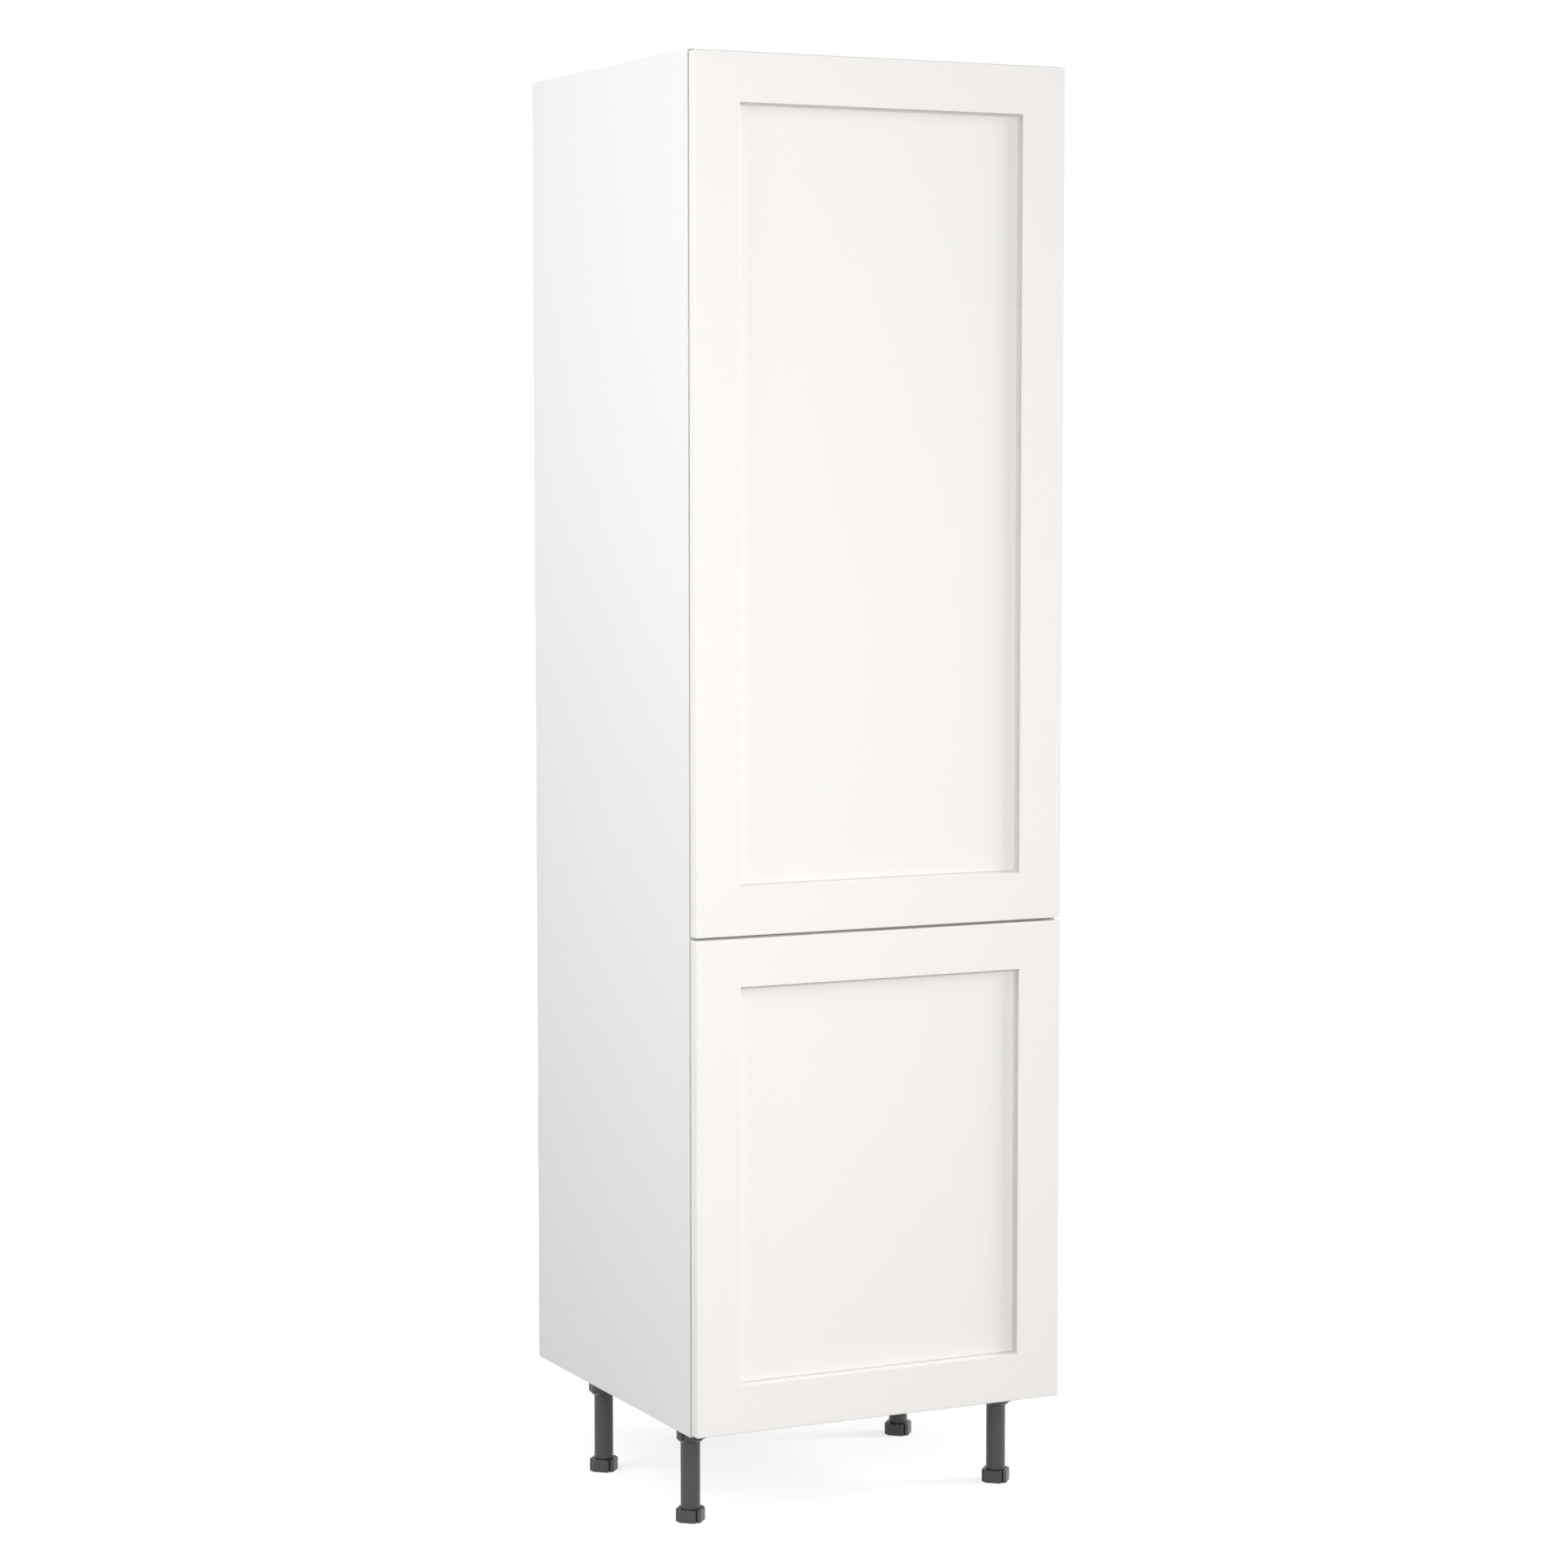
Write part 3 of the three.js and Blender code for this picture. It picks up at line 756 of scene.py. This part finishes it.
def tube_shape():
    """The tube, thickened at its lower end into the nut for the foot's stem."""
    bottom = FOOT_HEIGHT + REST_CLEARANCE - LEG_HEIGHT
    bore = TUBE_RADIUS - TUBE_WALL
    nut_bore = STEM_RADIUS + REST_CLEARANCE
    return lathe(fillet(
        [(nut_bore, bottom), (TUBE_RADIUS, bottom), (TUBE_RADIUS, -TUBE_SEAT), (bore, -TUBE_SEAT),
         (bore, bottom + NUT_HEIGHT + bore - nut_bore), (nut_bore, bottom + NUT_HEIGHT)],
        [MOULDED_EDGE, MOULDED_EDGE, MOULDED_EDGE, 0, 0, 0], closed=True), joined=True)


def grip_outline():
    """Each quarter of the foot has a slot, a small bevel, a broad flat and a narrow flat."""
    floor_radius = FOOT_RADIUS - SLOT_DEPTH
    floor_turn = math.asin(SLOT_WIDTH / 2 / floor_radius)
    mouth_turn = math.asin(SLOT_WIDTH / 2 / FOOT_RADIUS)
    corners = [
        (floor_radius, -floor_turn),
        (floor_radius, floor_turn),
        (FOOT_RADIUS, mouth_turn),
        (FOOT_RADIUS, QUARTER_TURN * BROAD_START_SHARE),
        (FOOT_RADIUS, QUARTER_TURN * BROAD_END_SHARE),
        (FOOT_RADIUS, QUARTER_TURN - mouth_turn),
    ]
    outline = []
    for quarter in range(1, 5):
        for radius, turn in corners:
            angle = -quarter * QUARTER_TURN - turn
            outline.append((radius * math.cos(angle), radius * math.sin(angle)))
    return outline[::-1]


def grip_shape():
    """The faceted grip, with its slot floors marked -1 for painted shade."""
    grip = slab(grip_outline(), -LEG_HEIGHT, FOOT_HEIGHT - LEG_HEIGHT, FOOT_EDGE,
                sharp_angle=GRIP_ANGLE, reach=FOOT_EDGE / 2)
    layer = grip.verts.layers.float["wear_and_shade"]
    for vert in grip.verts:
        if vert.co.xy.length < FOOT_RADIUS - SLOT_DEPTH / 2:
            vert[layer] = -1
    return grip


def thread_shape(low, high, turn_steps=48, pitch_steps=8):
    """A screw stem: the radius swings between root and crest as it winds up, and runs out at the top."""
    rows = round((high - low) / THREAD_PITCH * pitch_steps)
    rings = []
    for row in range(rows + 1):
        height = low + (high - low) * row / rows
        taper = min(1, (high - height) / THREAD_RUNOUT)
        ring = []
        for k in range(turn_steps):
            phase = (height / THREAD_PITCH - k / turn_steps) % 1
            rise = min(1, THREAD_STEEPNESS * abs(2 * phase - 1))
            radius = STEM_RADIUS - THREAD_DEPTH + THREAD_DEPTH * rise * taper
            ring.append(ring_point(radius, FULL_TURN * k / turn_steps, height))
        rings.append(ring)
    return loft(rings, [THREAD_WEAR] * len(rings))


def foot_shape():
    grip_top = FOOT_HEIGHT - LEG_HEIGHT
    return merge([grip_shape(), thread_shape(grip_top - STEM_SUNK, grip_top + STEM_LENGTH)])


def screw_shape():
    """A screw head with a cross recess, its seat at z = 0 and its top towards +Z."""
    head = lathe(fillet(
        [(SCREW_CENTRE, SCREW_HEAD_HEIGHT), (SCREW_TOP_SHARE * SCREW_HEAD_RADIUS, SCREW_HEAD_HEIGHT),
         (SCREW_HEAD_RADIUS, 0), (SCREW_CENTRE, 0)],
        [0, SCREW_CROWN, SCREW_RIM, 0]), segments=32)
    long = CROSS_SHARE * SCREW_HEAD_RADIUS
    short = CROSS_WIDTH / 2
    floor = SCREW_HEAD_HEIGHT - CROSS_DEPTH
    top = SCREW_HEAD_HEIGHT + CUT_OVERRUN
    cutters = [block((-x, -y, floor), (x, y, top), CROSS_EDGE) for x, y in ((long, short), (short, long))]
    return carve(head, cutters)


def leg(name, turn):
    """The socket, tube and foot of one leg, and the screws in the socket's ears."""
    centre = box_middle(f"leg_tube_{name}")
    stand = Matrix.Translation((centre.x, centre.y, LEG_HEIGHT)) @ Matrix.Rotation(turn, 4, "Z")
    pieces = (
        ("socket", socket_shape(), "carcass"),
        ("tube", tube_shape(), "carcass"),
        ("foot", foot_shape(), f"foot_{name}"),
    )
    for part, shape, body in pieces:
        solid = f"leg_{part}_{name}"
        piece(f"{part}_{name}", placed(shape, stand), body, [PLASTIC], [solid])
    seat = Matrix.Translation((EAR_REACH, 0, -EAR_THICKNESS)) @ Matrix.Rotation(math.pi, 4, "X")
    for i, ear in enumerate(EAR_TURNS, 1):
        screw = placed(screw_shape(), stand @ ear @ seat)
        piece(f"socket_screw_{name}_{i}", screw, "carcass", [ZINC])


for name, turn in LEG_TURNS.items():
    leg(name, turn)


# Metal fittings and buttons keep their solids, with softened edges

def dress(node, material):
    """Gives a solid's own mesh a material and softened edges."""
    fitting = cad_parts[node]
    fitting.data.materials.clear()
    fitting.data.materials.append(material)
    weld = fitting.modifiers.new("weld", "WELD")
    weld.merge_threshold = FITTING_WELD
    soft = fitting.modifiers.new("edge", "BEVEL")
    soft.width = FITTING_EDGE
    soft.segments = 2
    soft.limit_method = "ANGLE"
    soft.angle_limit = math.radians(FITTING_ANGLE)
    fitting.modifiers.new("shading", "WEIGHTED_NORMAL")


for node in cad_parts:
    if node.endswith(("_cup", "_arm")):
        dress(node, NICKEL)
    elif node.endswith("_plate") or node.startswith("wall_bracket"):
        dress(node, ZINC)
    elif "_bumper_" in node:
        dress(node, SOFT)


# Studio

def background_rays(tree):
    """1 for rays that show the background, straight or in gloss or clear bodies, and 0 for all others."""
    paths = tree.nodes.new("ShaderNodeLightPath")
    seen = paths.outputs["Is Camera Ray"]
    for ray in ("Is Glossy Ray", "Is Transmission Ray"):
        either = tree.nodes.new("ShaderNodeMath")
        either.operation = "MAXIMUM"
        tree.links.new(seen, either.inputs[0])
        tree.links.new(paths.outputs[ray], either.inputs[1])
        seen = either.outputs[0]
    return seen


def surround():
    """An even white surround that shows as pure white and lights the object at a lower level."""
    world = bpy.data.worlds.new("surround")
    bpy.context.scene.world = world
    world.use_nodes = True
    tree = world.node_tree
    glow = tree.nodes["Background"]
    glow.inputs["Color"].default_value = (1, 1, 1, 1)
    strength = tree.nodes.new("ShaderNodeMapRange")
    strength.inputs["To Min"].default_value = SURROUND_LEVEL
    strength.inputs["To Max"].default_value = 1
    tree.links.new(background_rays(tree), strength.inputs["Value"])
    tree.links.new(strength.outputs["Result"], glow.inputs["Strength"])


def softbox(name, place, aim, width, height, watts, spread=180):
    """A soft rectangular lamp that the camera doesn't see; the spread is its beam's angle in degrees."""
    light = bpy.data.lights.new(name, "AREA")
    light.shape = "RECTANGLE"
    light.size = width
    light.size_y = height
    light.energy = watts
    light.spread = math.radians(spread)
    lamp = bpy.data.objects.new(name, light)
    lamp.location = place
    lamp.rotation_euler = (Vector(aim) - Vector(place)).to_track_quat("-Z", "Y").to_euler()
    bpy.context.scene.collection.objects.link(lamp)
    lamp.visible_camera = False


def studio_floor():
    """A white floor that keeps the shadow near the object and reads as white everywhere else."""
    made = Finish("floor_white", FLOOR_GREY, roughness=0.9, specular=0.0)
    made.paint(made.uneven(made.patches(scale=0.8), FLOOR_GREY, spread=0.01))
    distance = made.node("ShaderNodeVectorMath", operation="LENGTH")
    made.join(made.place, distance.inputs[0])
    lift = made.span(distance.outputs["Value"], SHADOW_REACH, FLOOR_FADE, FLOOR_LIFT, 1)
    made.shader.inputs["Emission Color"].default_value = (1, 1, 1, 1)
    made.join(made.product(background_rays(made.tree), lift), made.shader.inputs["Emission Strength"])
    half = FLOOR_SIZE / 2
    ring = [(-half, -half, 0), (half, -half, 0), (half, half, 0), (-half, half, 0)]
    mesh = bpy.data.meshes.new("studio_floor")
    mesh.from_pydata(ring, [], [(0, 1, 2, 3)])
    mesh.materials.append(made.material)
    ground = bpy.data.objects.new("studio_floor", mesh)
    bpy.context.scene.collection.objects.link(ground)


def photo_camera():
    data = bpy.data.cameras.new("photo_camera")
    data.lens = CAMERA_LENS
    data.clip_end = CAMERA_FAR_CLIP
    camera = bpy.data.objects.new("photo_camera", data)
    camera.location = CAMERA_PLACE
    camera.rotation_euler = (math.radians(90 - CAMERA_PITCH), 0, -math.radians(CAMERA_YAW))
    bpy.context.scene.collection.objects.link(camera)
    bpy.context.scene.camera = camera


surround()
softbox("right_key", place=(15.2, -5.2, 6.6), aim=(0, 0, 1.2), width=6, height=7, watts=1820)
softbox("side_lamp", place=(-2.3, -0.2, 2.15), aim=(-0.3, 0, 1.5), width=1.8, height=1.8, watts=31)
softbox("front_lamp", place=(-1, -2.8, 1.4), aim=(0, 0, 1.1), width=1.2, height=1.2, watts=33.5)
softbox("top_lamp", place=(0, 0.1, 3.6), aim=(0, 0.1, 2), width=0.5, height=0.3, watts=0.45, spread=60)
studio_floor()
photo_camera()
bpy.context.scene.view_settings.view_transform = "Standard"
